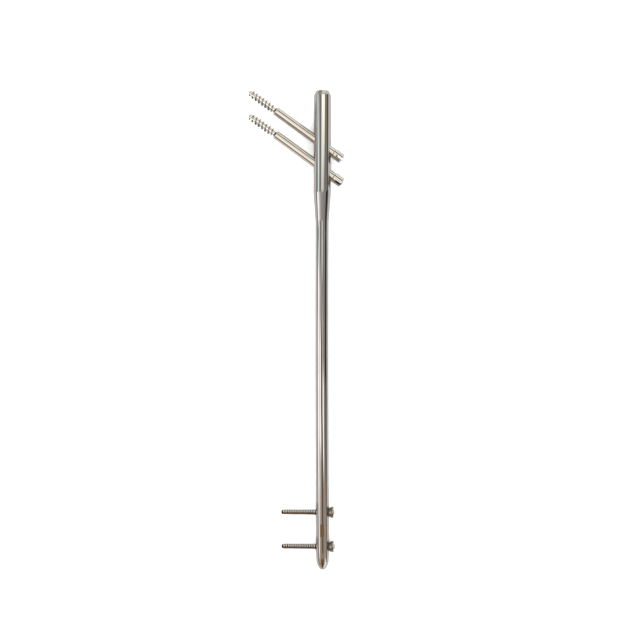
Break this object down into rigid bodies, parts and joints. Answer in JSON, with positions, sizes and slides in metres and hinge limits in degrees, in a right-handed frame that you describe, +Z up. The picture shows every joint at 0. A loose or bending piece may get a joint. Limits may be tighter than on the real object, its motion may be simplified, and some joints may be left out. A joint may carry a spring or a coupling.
{
  "type": "intramedullary nail",
  "caption": "Femoral reconstruction nail with oblique lag screws through its thick proximal end and cross screws that lock its slim distal end.",
  "frame": {"origin": "centre of the threaded socket's mouth in the proximal end", "axes": "+Y to the proximal end along the nail, +Z up as it lies at rest with its bow upwards, +X to the lateral side, where the screw heads are"},
  "size_m": [0.0727, 0.3608, 0.0187],
  "materials": {
    "nail_steel": "mirror polished implant steel",
    "lag_screw_steel": "polished implant steel",
    "locking_screw_steel": "polished implant steel"
  },
  "bodies": {
    "nail": {"nail": "nail_steel"},
    "lag_screw_upper": {"lag_screw_upper": "lag_screw_steel"},
    "lag_screw_lower": {"lag_screw_lower": "lag_screw_steel"},
    "locking_screw_upper": {"locking_screw_upper": "locking_screw_steel"},
    "locking_screw_lower": {"locking_screw_lower": "locking_screw_steel"}
  },
  "joints": [
    {"name": "lag_screw_upper_slide", "type": "slide", "parent": "nail", "child": "lag_screw_upper", "axis": [0.8024, -0.5914, 0.0795], "range_m": [0, 0.06]},
    {"name": "lag_screw_lower_slide", "type": "slide", "parent": "nail", "child": "lag_screw_lower", "axis": [0.8024, -0.5914, 0.0795], "range_m": [0, 0.06]},
    {"name": "locking_screw_upper_slide", "type": "slide", "parent": "nail", "child": "locking_screw_upper", "axis": [0.9982, 0.0032, 0.0592], "range_m": [0, 0.026]},
    {"name": "locking_screw_lower_slide", "type": "slide", "parent": "nail", "child": "locking_screw_lower", "axis": [0.9982, 0.0032, 0.0592], "range_m": [0, 0.026]}
  ]
}
